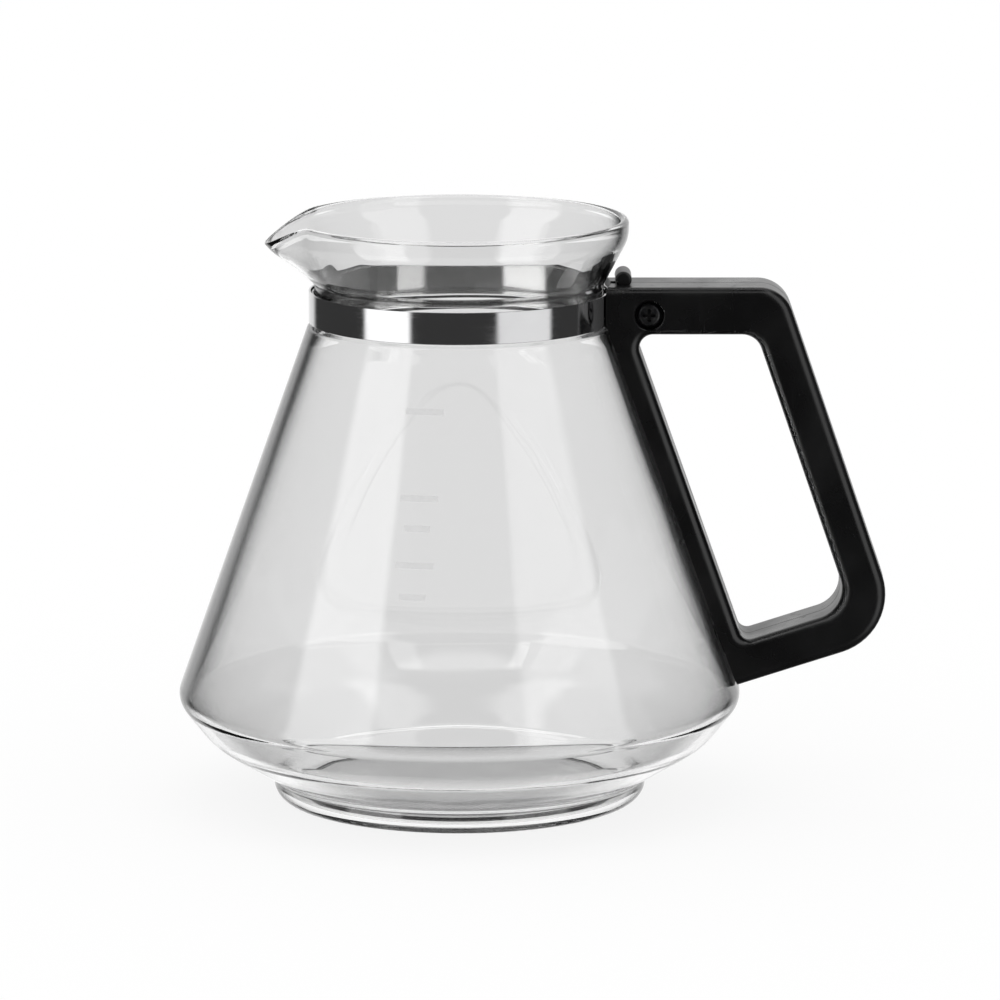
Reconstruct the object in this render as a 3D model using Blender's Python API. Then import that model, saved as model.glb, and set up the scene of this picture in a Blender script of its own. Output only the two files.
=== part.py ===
"""Open glass coffee decanter: a blown glass vessel, and a moulded handle that a band clamps to its neck.

Metres, +Z up. The origin lies on the vessel's axis, on the face that it stands on.
The spout points along -X and the handle along +X. The clamp screw lies along Y, with its head towards -Y.
"""

import math

import bmesh
import bpy
from mathutils import Matrix, Vector

# Fineness of the faceted shapes
TURN_STEPS = 60
SMALL_TURN_STEPS = 24
ARC_STEP = math.radians(24)
FIT_GAP = 0.0003
REACH = 0.004  # how far a cutter runs past what it cuts

# Glass vessel
HEIGHT = 0.172
WALL = 0.0025
FOOT_R = 0.0544
FOOT_H = 0.0069
FOOT_DRAFT = 0.0005
FOOT_FILLET = 0.0050
BOWL_JOIN = 0.0015  # fillet where the foot meets the bowl
BOWL_R = 0.0740
BOWL_Z = 0.0186
BOWL_FILLET = 0.0200
BELLY_Z = 0.0305
BELLY_FILLET = 0.0060
CONE_LEAN = 0.3546  # fall in radius per unit of height
CONE_R0 = 0.09408  # the cone's radius carried down to the base
GROOVE_Z = 0.1404
GROOVE_STEP = 0.0008
GROOVE_FILLET = 0.0006
NECK_R = 0.0422
NECK_JOIN = 0.0005  # fillet where the groove meets the neck
FLARE_Z = 0.1528
FLARE_FILLET = 0.0030
RIM_R = 0.0495
RIM_H = 0.0054
RIM_TURN = 0.0100  # fillet where the flare turns up into the rim
RIM_BEAD = 0.0032
RIM_FILLET = 0.00145
SMALLEST_INNER_FILLET = 0.0012
SPOUT_REACH = 0.0078
SPOUT_REACH_POWER = 1.5
SPOUT_DIP = 0.0070
SPOUT_DIP_POWER = 1.1
SPOUT_HALF_ANGLE = math.radians(28)

# Band, with a soft strip between it and the glass
BAND_LOW = 0.1417
BAND_HIGH = 0.1509
LINER_THICK = 0.0005
LINER_BELOW = 0.0002  # how far the strip shows under the band
LINER_SHORT = 0.0006  # how far it stops under the band's top
BAND_THICK = 0.0006
EAR_Y = 0.0008
EAR_BEND = 0.0012
EAR_END_X = 0.0592
EAR_HALF_H = 0.0036
EAR_START = 0.0012  # from the room around the band to where the ears narrow
EAR_TIP_SHARE = 0.99  # how much of the ears' half height the round of their tips takes

# Handle
HANDLE_HALF_Y = 0.0120
HANDLE_ROUNDING = 0.0030
ROUNDING_STEPS = 3
HANDLE_TOP = 0.1530
TOP_THICK = 0.0139
GRIP_X0 = 0.1471  # the grip's outer face carried down to the base
GRIP_LEAN = 0.3445
GRIP_THICK = 0.0120
LOWER_Z0 = 0.0089  # the lower bar's underside carried in to the axis
LOWER_RISE = 0.32
LOWER_THICK = 0.0119
ROOT_THICK = 0.0060
OUTER_FILLETS = (0.0180, 0.0100)  # lower and upper corner of the grip's outside
OPENING_FILLETS = (0.0030, 0.0090, 0.0060, 0.0040)  # anticlockwise from the foot of the root
MOUTH_DEPTH = 0.0015
GLASS_GAP = 0.0006
NOSE_X = 0.0478
NOSE_Z = 0.1546
NOSE_R = 0.0024
NOSE_HALF_Y = 0.0060

# Clamp screw and what is on it, as distances along its axis from the handle's middle
SCREW_X = 0.0552
SCREW_Z = 0.1450
SCREW_R = 0.0019
SCREW_HOLE_R = 0.00225
HEAD_R = 0.0035
HEAD_H = 0.0026
HEAD_ROUND_SHARE = 0.45
HEAD_DOME = 0.0003
RECESS_ARM = 0.0019
RECESS_HALF_WIDTH = 0.0005
RECESS_DEPTH = 0.0014
WASHER_R = 0.0040
WASHER_THICK = 0.0008
COUNTERBORE_R = 0.0043
COUNTERBORE_FLOOR = 0.0072
SCREW_END = 0.0118
NUT_FLATS = 0.0070
NUT_THICK = 0.0032
NUT_BORE_R = 0.0020
POCKET_FLATS = 0.0075
POCKET_FLOOR = 0.0071
LOCK_WASHER_R = 0.0036
LOCK_WASHER_THICK = 0.0008
LOCK_CUT_HALF = 0.0003
LOCK_CUT_LEAN = 0.0004

# Bumper pad between the foot of the handle and the glass
PAD_LOW = 0.0443
PAD_HIGH = 0.0557
PAD_THICK = 0.0026
PAD_HALF_Y = 0.0067
CLEARANCE_BELOW_PAD = 0.0200


def clear_scene():
    for obj in list(bpy.data.objects):
        bpy.data.objects.remove(obj, do_unlink=True)


def material(name, colour, roughness, metallic=0.0, transmission=0.0):
    made = bpy.data.materials.new(name)
    made.use_nodes = True
    shader = made.node_tree.nodes["Principled BSDF"]
    shader.inputs["Base Color"].default_value = (*colour, 1.0)
    shader.inputs["Roughness"].default_value = roughness
    shader.inputs["Metallic"].default_value = metallic
    shader.inputs["Transmission Weight"].default_value = transmission
    made.diffuse_color = (*colour, 1.0)
    return made


def finished(bm, name, finish=None):
    """The mesh as a named object, its normals pointing out and its round faces smooth."""
    bmesh.ops.remove_doubles(bm, verts=bm.verts, dist=1e-6)
    bmesh.ops.recalc_face_normals(bm, faces=bm.faces)
    mesh = bpy.data.meshes.new(name)
    bm.to_mesh(mesh)
    bm.free()
    mesh.shade_smooth()
    mesh.set_sharp_from_angle(angle=math.radians(30))
    obj = bpy.data.objects.new(name, mesh)
    bpy.context.scene.collection.objects.link(obj)
    if finish:
        mesh.materials.append(finish)
    return obj


def helper(obj):
    """A shape that only cuts another, or is joined to it."""
    obj.hide_render = True
    obj.display_type = "WIRE"
    return obj


def combine(target, operation, *others):
    for other in others:
        modifier = target.modifiers.new(other.name, "BOOLEAN")
        modifier.operation = operation
        modifier.solver = "EXACT"
        modifier.object = helper(other)


def rounded(corners):
    """The points of an outline given as corners (x, z, fillet radius), with an arc at each fillet."""
    points = []
    for index, (x, z, radius) in enumerate(corners):
        here = Vector((x, z))
        if radius == 0:
            points.append(here)
            continue
        back = (Vector(corners[index - 1][:2]) - here).normalized()
        ahead = (Vector(corners[(index + 1) % len(corners)][:2]) - here).normalized()
        turn = math.pi - back.angle(ahead)
        centre = here + (back + ahead).normalized() * radius / math.cos(turn / 2)
        spoke = here + back * radius * math.tan(turn / 2) - centre
        sense = math.copysign(1, back.cross(ahead))
        steps = max(1, math.ceil(turn / ARC_STEP))
        for step in range(steps + 1):
            swing = Matrix.Rotation(-sense * turn * step / steps, 2)
            points.append(centre + swing @ spoke)
    return points


def moved_left(points, distance, closed=False):
    """The path moved sideways, to the left of the way it runs, with mitred corners."""
    moved = []
    for index, here in enumerate(points):
        back = here - points[index - 1] if index or closed else points[1] - here
        last = index == len(points) - 1
        ahead = back if last and not closed else points[(index + 1) % len(points)] - here
        normals = [Vector((-way.y, way.x)).normalized() for way in (back, ahead)]
        moved.append(here + distance * (normals[0] + normals[1]) / (1 + normals[0].dot(normals[1])))
    return moved


def turned(name, profile, finish=None, steps=TURN_STEPS, ring=False):
    """The profile (radius, height) turned about Z. A ring's profile is closed. Any other ends on the axis."""
    bm = bmesh.new()
    verts = [bm.verts.new((radius, 0, height)) for radius, height in profile]
    edges = [bm.edges.new(pair) for pair in zip(verts, verts[1:])]
    if ring:
        edges.append(bm.edges.new((verts[-1], verts[0])))
    bmesh.ops.spin(
        bm, geom=verts + edges, cent=(0, 0, 0), axis=(0, 0, 1), angle=2 * math.pi, steps=steps, use_merge=True
    )
    return finished(bm, name, finish)


def rod(name, radius, low, high):
    return turned(name, [(0, low), (radius, low), (radius, high), (0, high)], steps=SMALL_TURN_STEPS)


def prism(name, outline, low, high, along, finish=None):
    """The outline extruded along Y, where it lies in XZ, or along Z, where it lies in XY."""
    bm = bmesh.new()
    if along == "Y":
        verts = [bm.verts.new((first, low, second)) for first, second in outline]
        way = Vector((0, high - low, 0))
    else:
        verts = [bm.verts.new((first, second, low)) for first, second in outline]
        way = Vector((0, 0, high - low))
    face = bm.faces.new(verts)
    raised = bmesh.ops.extrude_face_region(bm, geom=[face], use_keep_orig=True)["geom"]
    bmesh.ops.translate(bm, vec=way, verts=[item for item in raised if isinstance(item, bmesh.types.BMVert)])
    return finished(bm, name, finish)


def box(name, low, high):
    corners = [(low[0], low[1]), (high[0], low[1]), (high[0], high[1]), (low[0], high[1])]
    return prism(name, corners, low[2], high[2], "Z")


def cone_radius(height):
    return CONE_R0 - CONE_LEAN * height


def vessel_side():
    """The outside of the glass, from the middle of its base to its rim."""
    return [
        (0, 0, 0),
        (FOOT_R, 0, FOOT_FILLET),
        (FOOT_R + FOOT_DRAFT, FOOT_H, BOWL_JOIN),
        (BOWL_R, BOWL_Z, BOWL_FILLET),
        (cone_radius(BELLY_Z), BELLY_Z, BELLY_FILLET),
        (cone_radius(GROOVE_Z), GROOVE_Z, GROOVE_FILLET),
        (NECK_R, GROOVE_Z + GROOVE_STEP, NECK_JOIN),
        (NECK_R, FLARE_Z, FLARE_FILLET),
        (RIM_R, HEIGHT - RIM_H, RIM_TURN),
        (RIM_R, HEIGHT, RIM_FILLET),
    ]


def vessel_profile():
    """Up the outside, over the rim and down the inside, which follows the outside at the wall's thickness."""
    side = vessel_side()
    corners = [Vector(corner[:2]) for corner in side]
    inside = moved_left(corners, WALL)
    hollow = []
    for index in range(len(side) - 2, 0, -1):
        bend = (corners[index] - corners[index - 1]).cross(corners[index + 1] - corners[index])
        radius = side[index][2] - math.copysign(WALL, bend)
        hollow.append((*inside[index], max(radius, SMALLEST_INNER_FILLET)))
    inner_rim = (RIM_R - RIM_BEAD, HEIGHT, RIM_FILLET)
    return rounded([*side, inner_rim, *hollow, (0, WALL, 0)])


def spout_pull(place):
    """A point of the glass moved out and down into the spout, most at the rim and straight along -X."""
    rise = min(max((place.z - FLARE_Z) / (HEIGHT - FLARE_Z), 0), 1)
    off_axis = math.pi - abs(math.atan2(place.y, place.x))
    share = math.cos(math.pi / 2 * min(off_axis / SPOUT_HALF_ANGLE, 1)) ** 2
    outward = Vector((place.x, place.y, 0)).normalized()
    out = SPOUT_REACH * rise**SPOUT_REACH_POWER
    down = SPOUT_DIP * rise**SPOUT_DIP_POWER
    return place + share * (outward * out - Vector((0, 0, down)))


def glass_vessel(finish):
    vessel = turned("glass_vessel", vessel_profile(), finish)
    for vertex in vessel.data.vertices:
        if vertex.co.z > FLARE_Z:
            vertex.co = spout_pull(vertex.co)
    vessel.data.update()
    return vessel


def ring_points(radius):
    """Points of a ring at the vessel's own facet angles, from just below +X round to just above it."""
    angles = [-2 * math.pi * step / TURN_STEPS for step in range(1, TURN_STEPS)]
    return [Vector((radius * math.cos(angle), radius * math.sin(angle))) for angle in angles]


def band_liner(finish):
    inner = NECK_R + FIT_GAP
    outline = ring_points(inner + LINER_THICK) + ring_points(inner)[::-1]
    return prism("band_liner", outline, BAND_LOW - LINER_BELOW, BAND_HIGH - LINER_SHORT, "Z", finish)


def band_middle_r():
    return NECK_R + FIT_GAP + LINER_THICK + FIT_GAP + BAND_THICK / 2


def neck_band(finish):
    """A steel strip bent round the neck, its two ends turned out as ears that the screw draws together."""
    radius = band_middle_r()
    bend_x = math.sqrt(radius**2 - EAR_Y**2)
    ring = [(point.x, point.y, 0) for point in ring_points(radius)]
    near_ear = [(EAR_END_X, -EAR_Y, 0), (bend_x, -EAR_Y, EAR_BEND)]
    far_ear = [(bend_x, EAR_Y, EAR_BEND), (EAR_END_X, EAR_Y, 0)]
    path = rounded([*near_ear, *ring, *far_ear])
    outline = moved_left(path, BAND_THICK / 2) + moved_left(path, -BAND_THICK / 2)[::-1]
    band = prism("neck_band", outline, BAND_LOW, BAND_HIGH, "Z", finish)
    combine(band, "DIFFERENCE", ear_trim(), screw_rod("ear_hole", SCREW_HOLE_R))
    return band


def ear_trim():
    """What is cut away round the ears, which leaves them as tabs with round ends about the screw."""
    start, end = radius_past_band() + EAR_START, EAR_END_X + REACH
    low, high = BAND_LOW - REACH, BAND_HIGH + REACH
    tab_low, tab_high = SCREW_Z - EAR_HALF_H, SCREW_Z + EAR_HALF_H
    tip = EAR_HALF_H * EAR_TIP_SHARE
    corners = [
        (start, low, 0),
        (end, low, 0),
        (end, high, 0),
        (start, high, 0),
        (start, tab_high, 0),
        (EAR_END_X, tab_high, tip),
        (EAR_END_X, tab_low, tip),
        (start, tab_low, 0),
    ]
    return prism("ear_trim", rounded(corners), -REACH, REACH, "Y")


def radius_past_band():
    return band_middle_r() + BAND_THICK / 2 + FIT_GAP


def crossing(upright, level):
    """Where the leaning line x = x0 - lean z meets the line z = z0 + rise x."""
    (x0, lean), (z0, rise) = upright, level
    x = (x0 - lean * z0) / (1 + lean * rise)
    return x, z0 + rise * x


def handle_outlines():
    """The corners of the handle's outer edge and of the opening for the fingers, both anticlockwise."""
    top = (HANDLE_TOP, 0)
    under_top = (HANDLE_TOP - TOP_THICK, 0)
    lower_under = (LOWER_Z0, LOWER_RISE)
    lower_over = (LOWER_Z0 + LOWER_THICK * math.hypot(1, LOWER_RISE), LOWER_RISE)
    grip_outer = (GRIP_X0, GRIP_LEAN)
    grip_inner = (GRIP_X0 - GRIP_THICK * math.hypot(1, GRIP_LEAN), GRIP_LEAN)
    root_inner = (CONE_R0 + ROOT_THICK, CONE_LEAN)
    root_glass = (CONE_R0 - REACH, CONE_LEAN)
    outer = [
        (*crossing(root_glass, lower_under), 0),
        (*crossing(grip_outer, lower_under), OUTER_FILLETS[0]),
        (*crossing(grip_outer, top), OUTER_FILLETS[1]),
        (*crossing(root_glass, top), 0),
    ]
    corners = [
        crossing(root_inner, lower_over),
        crossing(grip_inner, lower_over),
        crossing(grip_inner, under_top),
        crossing(root_inner, under_top),
    ]
    opening = [(*corner, fillet) for corner, fillet in zip(corners, OPENING_FILLETS)]
    return outer, opening


def handle_rings(bm, points, inward):
    """One edge of the handle from its front face round to its back face. Returns its first and last loop."""
    depth = HANDLE_HALF_Y - HANDLE_ROUNDING
    angles = [math.pi / 2 * step / ROUNDING_STEPS for step in range(ROUNDING_STEPS, -1, -1)]
    front = [(HANDLE_ROUNDING * (1 - math.cos(a)), -depth - HANDLE_ROUNDING * math.sin(a)) for a in angles]
    back = [(inset, -y) for inset, y in front[::-1]]
    loops = []
    for inset, y in front + back:
        shifted = moved_left(points, inward * inset, closed=True)
        loops.append([bm.verts.new((point.x, y, point.y)) for point in shifted])
    for near, far in zip(loops, loops[1:]):
        for index in range(len(points)):
            bm.faces.new((near[index - 1], near[index], far[index], far[index - 1]))
    return loops[0], loops[-1]


def loop_edges(bm, loop):
    return [bm.edges.get((loop[index - 1], loop[index])) for index in range(len(loop))]


def handle(finish):
    """A closed loop: top bar, leaning grip, rising lower bar and a slim root that follows the glass."""
    outer, opening = handle_outlines()
    bm = bmesh.new()
    outer_ends = handle_rings(bm, rounded(outer), 1)
    opening_ends = handle_rings(bm, rounded(opening), -1)
    for outer_loop, opening_loop in zip(outer_ends, opening_ends):
        edges = loop_edges(bm, outer_loop) + loop_edges(bm, opening_loop)
        bmesh.ops.triangle_fill(bm, edges=edges, use_beauty=True, use_dissolve=False)
    body = finished(bm, "handle", finish)
    combine(body, "UNION", nose())
    combine(
        body,
        "DIFFERENCE",
        vessel_clearance("handle_clearance", GLASS_GAP, radius_past_band()),
        ear_slot(),
        slot_mouth(),
        screw_bore(),
        nut_pocket(),
        pad_block("pad_recess", FIT_GAP),
    )
    return body


def nose():
    """The raised round nose on the handle's root, where a lid's hinge would hook on."""
    bump = rod("nose", NOSE_R, -NOSE_HALF_Y, NOSE_HALF_Y)
    bump.location = (NOSE_X, 0, NOSE_Z)
    bump.rotation_euler = (math.pi / 2, 0, 0)
    return bump


def vessel_clearance(name, gap, neck_radius):
    """The room that the glass and the band need, as a turned solid."""
    low, high = PAD_LOW - CLEARANCE_BELOW_PAD, HANDLE_TOP + 2 * REACH
    groove = GROOVE_Z + gap
    profile = [
        (0, low),
        (cone_radius(low) + gap, low),
        (cone_radius(groove) + gap, groove),
        (neck_radius, groove + gap),
        (neck_radius, high),
        (0, high),
    ]
    return turned(name, profile)


def ear_slot():
    half = EAR_Y + BAND_THICK / 2 + FIT_GAP
    tall = EAR_HALF_H + FIT_GAP
    return box("ear_slot", (NECK_R, -half, SCREW_Z - tall), (EAR_END_X + FIT_GAP, half, SCREW_Z + tall))


def slot_mouth():
    """The wider mouth of the slot, which clears the bends of the band over its whole height."""
    half = EAR_Y + EAR_BEND + FIT_GAP
    start, end = NECK_R, radius_past_band() + MOUTH_DEPTH
    return box("slot_mouth", (start, -half, BAND_LOW - FIT_GAP), (end, half, HANDLE_TOP + FIT_GAP))


def on_screw_axis(obj):
    """Turns a piece made about Z onto the screw's axis, so that its +Z end points to the front, along -Y."""
    obj.location = (SCREW_X, 0, SCREW_Z)
    obj.rotation_euler = (math.pi / 2, 0, 0)
    return obj


def screw_rod(name, radius):
    return on_screw_axis(rod(name, radius, -HANDLE_HALF_Y - REACH, HANDLE_HALF_Y + REACH))


def screw_bore():
    """The hole through the handle's cheeks, stepped out in front to take the screw's head and its washer."""
    low, high = -HANDLE_HALF_Y - REACH, HANDLE_HALF_Y + REACH
    profile = [
        (0, low),
        (SCREW_HOLE_R, low),
        (SCREW_HOLE_R, COUNTERBORE_FLOOR),
        (COUNTERBORE_R, COUNTERBORE_FLOOR),
        (COUNTERBORE_R, high),
        (0, high),
    ]
    return on_screw_axis(turned("screw_bore", profile, steps=SMALL_TURN_STEPS))


def hexagon(flats):
    corner_radius = flats / math.sqrt(3)
    angles = [math.pi / 3 * step for step in range(6)]
    return [(corner_radius * math.cos(angle), corner_radius * math.sin(angle)) for angle in angles]


def nut_pocket():
    pocket = prism("nut_pocket", hexagon(POCKET_FLATS), -HANDLE_HALF_Y - REACH, -POCKET_FLOOR, "Z")
    return on_screw_axis(pocket)


def clamp_screw(finish):
    under = head_seat()
    top = under + HEAD_H
    profile = rounded(
        [
            (0, -SCREW_END, 0),
            (SCREW_R, -SCREW_END, 0),
            (SCREW_R, under, 0),
            (HEAD_R, under, 0),
            (HEAD_R, top, HEAD_H * HEAD_ROUND_SHARE),
            (0, top + HEAD_DOME, 0),
        ]
    )
    screw = on_screw_axis(turned("clamp_screw", profile, finish, SMALL_TURN_STEPS))
    combine(screw, "DIFFERENCE", *recess_bars(top))
    return screw


def head_seat():
    """How far forward of the handle's middle the underside of the screw's head is."""
    return COUNTERBORE_FLOOR + 2 * FIT_GAP + WASHER_THICK


def recess_bars(top):
    """The two bars of the cross recess in the screw's head."""
    bars = []
    for name, arm, width in (
        ("recess_across", RECESS_ARM, RECESS_HALF_WIDTH),
        ("recess_upright", RECESS_HALF_WIDTH, RECESS_ARM),
    ):
        bar = box(name, (-arm, -width, top - RECESS_DEPTH), (arm, width, top + REACH))
        bars.append(on_screw_axis(bar))
    return bars


def flat_ring(name, inner, outer, low, thick, finish):
    profile = [(inner, low), (outer, low), (outer, low + thick), (inner, low + thick)]
    return on_screw_axis(turned(name, profile, finish, SMALL_TURN_STEPS, ring=True))


def screw_washer(finish):
    seat = COUNTERBORE_FLOOR + FIT_GAP
    return flat_ring("screw_washer", SCREW_HOLE_R, WASHER_R, seat, WASHER_THICK, finish)


def lock_washer(finish):
    """A spring washer: a ring with one slanting cut."""
    low = -POCKET_FLOOR - FIT_GAP - LOCK_WASHER_THICK
    washer = flat_ring("lock_washer", SCREW_HOLE_R, LOCK_WASHER_R, low, LOCK_WASHER_THICK, finish)
    under, over = low - FIT_GAP, low + LOCK_WASHER_THICK + FIT_GAP
    cut = [
        (-LOCK_CUT_HALF - LOCK_CUT_LEAN, under),
        (LOCK_CUT_HALF - LOCK_CUT_LEAN, under),
        (LOCK_CUT_HALF + LOCK_CUT_LEAN, over),
        (-LOCK_CUT_HALF + LOCK_CUT_LEAN, over),
    ]
    combine(washer, "DIFFERENCE", on_screw_axis(prism("washer_cut", cut, 0, LOCK_WASHER_R + FIT_GAP, "Y")))
    return washer


def clamp_nut(finish):
    """A hexagon nut in the handle's rear pocket, which stops it from turning."""
    high = -POCKET_FLOOR - 2 * FIT_GAP - LOCK_WASHER_THICK
    nut = on_screw_axis(prism("clamp_nut", hexagon(NUT_FLATS), high - NUT_THICK, high, "Z", finish))
    combine(nut, "DIFFERENCE", screw_rod("nut_bore", NUT_BORE_R))
    return nut


def pad_block(name, margin):
    """The block of the bumper pad, grown on its sides and back by the margin."""
    back = CONE_R0 + GLASS_GAP + PAD_THICK + margin
    low, high = PAD_LOW - margin, PAD_HIGH + margin
    outline = [
        (cone_radius(low) - REACH, low),
        (back - CONE_LEAN * low, low),
        (back - CONE_LEAN * high, high),
        (cone_radius(high) - REACH, high),
    ]
    return prism(name, outline, -PAD_HALF_Y - margin, PAD_HALF_Y + margin, "Y")


def handle_pad(finish):
    pad = pad_block("handle_pad", 0)
    pad.data.materials.append(finish)
    combine(pad, "DIFFERENCE", vessel_clearance("pad_clearance", FIT_GAP, NECK_R))
    return pad


def main():
    clear_scene()
    glass = material("glass", (1.0, 1.0, 1.0), 0.02, transmission=1.0)
    silicone = material("silicone", (0.80, 0.80, 0.78), 0.45)
    steel = material("polished_steel", (0.72, 0.72, 0.73), 0.15, metallic=1.0)
    plastic = material("handle_plastic", (0.012, 0.012, 0.013), 0.30)
    blackened = material("blackened_steel", (0.03, 0.03, 0.032), 0.35, metallic=0.9)
    plated = material("plated_steel", (0.60, 0.60, 0.62), 0.30, metallic=1.0)
    rubber = material("pad_rubber", (0.02, 0.02, 0.02), 0.60)
    glass_vessel(glass)
    band_liner(silicone)
    neck_band(steel)
    handle(plastic)
    handle_pad(rubber)
    clamp_nut(plated)
    lock_washer(plated)
    washer = screw_washer(blackened)
    screw = clamp_screw(blackened)
    bpy.context.view_layer.update()
    screw.parent = washer
    screw.matrix_parent_inverse = washer.matrix_world.inverted()


main()
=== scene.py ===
"""The looks of the glass coffee decanter, round its CAD model. Metres, +Z up, spout to -X, handle to +X."""

import math

import bmesh
import bpy
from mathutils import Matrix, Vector, noise


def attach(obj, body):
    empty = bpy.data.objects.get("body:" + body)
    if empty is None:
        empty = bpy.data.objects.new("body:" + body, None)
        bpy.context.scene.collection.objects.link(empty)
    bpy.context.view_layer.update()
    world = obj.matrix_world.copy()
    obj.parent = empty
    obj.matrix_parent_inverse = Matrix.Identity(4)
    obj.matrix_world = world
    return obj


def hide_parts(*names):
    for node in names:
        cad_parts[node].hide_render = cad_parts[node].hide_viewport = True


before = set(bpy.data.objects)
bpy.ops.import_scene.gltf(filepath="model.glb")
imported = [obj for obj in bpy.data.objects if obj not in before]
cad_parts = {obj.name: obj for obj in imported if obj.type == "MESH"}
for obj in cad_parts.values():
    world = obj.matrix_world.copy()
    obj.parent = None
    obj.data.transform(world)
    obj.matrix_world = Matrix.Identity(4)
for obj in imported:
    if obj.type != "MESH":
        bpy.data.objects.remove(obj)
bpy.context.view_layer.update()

# Fineness, and gaps that several pieces share
TURN_STEPS = 180
SMALL_TURN_STEPS = 64
ARC_STEP = math.radians(7)
ROUNDING_STEPS = 7
LONGEST_STRETCH = 0.006
MERGE_DISTANCE = 1e-6
SHARP_ANGLE = 35
HANDLE_SHARP_ANGLE = 28
BEVEL_ANGLE = math.radians(40)
SMALL_EDGE = 0.00025
REACH = 0.004  # how far a cutter runs past what it cuts
FIT_GAP = 0.0003

# The glass. Its hollow base, groove fillet, inner neck and inner flare differ from the CAD model's.
HEIGHT = 0.172
WALL = 0.0025
PUNT_R = 0.0455  # the hollow in the middle of the base
PUNT_RISE = 0.0012
PUNT_FILLET = 0.0030
PUNT_SLOPE = 0.0020
PUNT_EDGE_FILLET = 0.0010
FOOT_R = 0.0544
FOOT_H = 0.0069
FOOT_DRAFT = 0.0005
FOOT_FILLET = 0.0050
BOWL_JOIN = 0.0015  # fillet where the foot meets the bowl
BOWL_R = 0.0740
BOWL_Z = 0.0186
BOWL_FILLET = 0.0200
BELLY_Z = 0.0305
BELLY_FILLET = 0.0060
CONE_LEAN = 0.3546  # fall in radius per unit of height
CONE_R0 = 0.09408  # the radius that the cone would have at the floor
GROOVE_Z = 0.1404
GROOVE_STEP = 0.0008
GROOVE_FILLET = 0.0011
NECK_R = 0.0422
NECK_JOIN = 0.0005  # fillet where the groove meets the neck
FLARE_Z = 0.1528
FLARE_FILLET = 0.0030
RIM_R = 0.0495
RIM_H = 0.0054
RIM_TURN = 0.0100  # fillet where the flare turns up into the rim
RIM_BEAD = 0.0032
RIM_FILLET = 0.00145
SMALLEST_INNER_FILLET = 0.0012
NECK_WALL_SHARE = 1.12  # the wall at the top of the neck, as a share of WALL
FLARE_WALL_SHARE = 0.80  # the wall at the top of the flare
INNER_SHOULDER_LOW = 0.0050
INNER_SHOULDER_HIGH = 0.0020
INNER_SHOULDER_FILLET = 0.0060
SPOUT_REACH = 0.0078
SPOUT_REACH_POWER = 1.5
SPOUT_DIP = 0.0070
SPOUT_DIP_POWER = 1.1
SPOUT_HALF_ANGLE = math.radians(28)
INNER_WAVE = 0.00010
WAVE_SCALE = 28
WAVE_NECK_MARGIN = 0.0005
WAVE_ABOVE_BELLY = 0.006
WAVE_BELOW_GROOVE = 0.003
WAVE_LEAST_RADIUS = 0.02

# The band and the strip under it
BAND_LOW = 0.1417
BAND_HIGH = 0.1509
RING_GAP_STEPS = 3  # how many of the turn's steps each end stops short of +X
LINER_THICK = 0.0005
LINER_BELOW = 0.0002  # how far the strip shows under the band
LINER_SHORT = 0.0006  # how far it stops under the band's top
LINER_ROUNDING = 0.0001
BAND_THICK = 0.0006
BAND_ROUNDING = 0.00012
EAR_Y = 0.0008
EAR_BEND = 0.0012
EAR_END_X = 0.0592
EAR_HALF_H = 0.0036
EAR_START = 0.0012  # from the room around the band to where the ears narrow
EAR_TIP_SHARE = 0.99  # how much of the ears' half height the round of their tips takes

# The handle and its pad
HANDLE_HALF_Y = 0.0120
HANDLE_ROUNDING = 0.0030
HANDLE_TOP = 0.1530
TOP_THICK = 0.0139
GRIP_X0 = 0.1471
GRIP_LEAN = 0.3445
GRIP_THICK = 0.0120
LOWER_Z0 = 0.0089
LOWER_RISE = 0.32
LOWER_THICK = 0.0119
ROOT_THICK = 0.0060
OUTER_FILLETS = (0.0180, 0.0100)  # lower and upper corner of the grip's outside
OPENING_FILLETS = (0.0030, 0.0090, 0.0060, 0.0040)  # anticlockwise from the foot of the root
MOUTH_DEPTH = 0.0015
GLASS_GAP = 0.0006
CLEARANCE_BELOW_PAD = 0.0200
SEAM_HALF = 0.00025
SEAM_SHOULDER = 3  # where the seam's flat shoulder starts, in half seams
SEAM_PROUD = 0.00007
NOSE_X = 0.0478
NOSE_Z = 0.1546
NOSE_R = 0.0024
NOSE_HALF_Y = 0.0060
NOSE_ROUNDING = 0.0008
PAD_LOW = 0.0443
PAD_HIGH = 0.0557
PAD_THICK = 0.0026
PAD_HALF_Y = 0.0067

# The screw, its washers and its nut
SCREW_X = 0.0552
SCREW_Z = 0.1450
SCREW_R = 0.0019
SCREW_END = 0.0118
SCREW_HOLE_R = 0.00225
TIP_TAPER = 0.0006
TIP_FILLET = 0.0001
TIP_H = 0.0005
THREAD_DEPTH = 0.00022
THREAD_PITCH = 0.0007
THREAD_STEPS = 24
THREAD_OVERLAP = 0.0001  # how far the ridge starts inside the shank
THREAD_HALF_SHARE = 0.42  # the ridge's half width, as a share of the pitch
THREAD_FROM_TIP = 0.0007
THREAD_FROM_HEAD = 0.0012
HEAD_R = 0.0035
HEAD_H = 0.0026
HEAD_NECK = 0.0004
HEAD_EDGE = 0.0002
HEAD_ROUND_SHARE = 0.45
HEAD_DOME = 0.0003
RECESS_ARM = 0.0019
RECESS_HALF_WIDTH = 0.0005
RECESS_DEPTH = 0.0014
WASHER_R = 0.0040
WASHER_THICK = 0.0008
WASHER_ROUNDING = 0.00012
COUNTERBORE_R = 0.0043
COUNTERBORE_FLOOR = 0.0072
NUT_FLATS = 0.0070
NUT_THICK = 0.0032
NUT_BORE_R = 0.0020
NUT_SINK = 0.0004
CHAMFER_SHARE = 0.48  # the radius where the nut's chamfer starts, as a share of its flats
CHAMFER_SLOPE = 0.5
POCKET_FLATS = 0.0075
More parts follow.
